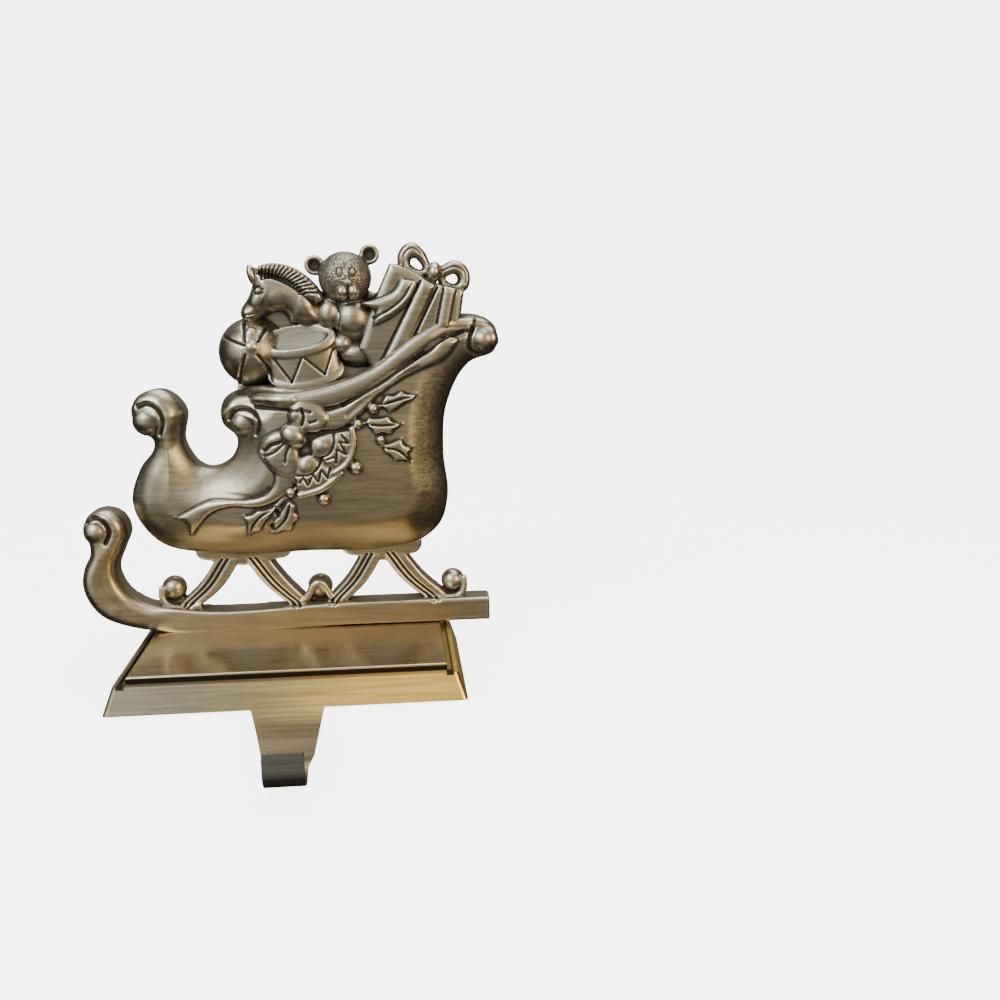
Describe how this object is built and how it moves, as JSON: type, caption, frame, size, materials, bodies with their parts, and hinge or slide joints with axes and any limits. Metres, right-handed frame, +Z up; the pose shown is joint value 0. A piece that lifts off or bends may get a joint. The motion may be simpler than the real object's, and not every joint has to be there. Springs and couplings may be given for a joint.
{
  "type": "mantel stocking holder",
  "caption": "Cast mantel stocking holder: weighted base with a J hook in front and a toy-laden sleigh figure standing along its back edge.",
  "frame": {"origin": "middle of the pad's underside, where the holder rests on the shelf", "axes": "+X to the holder's right as seen from the front, +Y to the back, +Z up; the hook hangs at the front, towards -Y"},
  "size_m": [0.1658, 0.0968, 0.1815],
  "materials": {
    "antique_metal_base": "antiqued and brushed plating with dark patina in the corners, polished on the panel",
    "antique_metal_figure": "antiqued plating, high spots rubbed bright and recesses left dark brown-black",
    "ballast_iron": "plain grey iron plate",
    "pad_foam": "matt black foam rubber",
    "screw_steel": "zinc-plated steel"
  },
  "bodies": {
    "root": {"hook_base": "antique_metal_base", "sleigh_figure": "antique_metal_figure", "weight_block": "ballast_iron", "base_pad": "pad_foam", "fixing_screws": "screw_steel"}
  },
  "joints": []
}
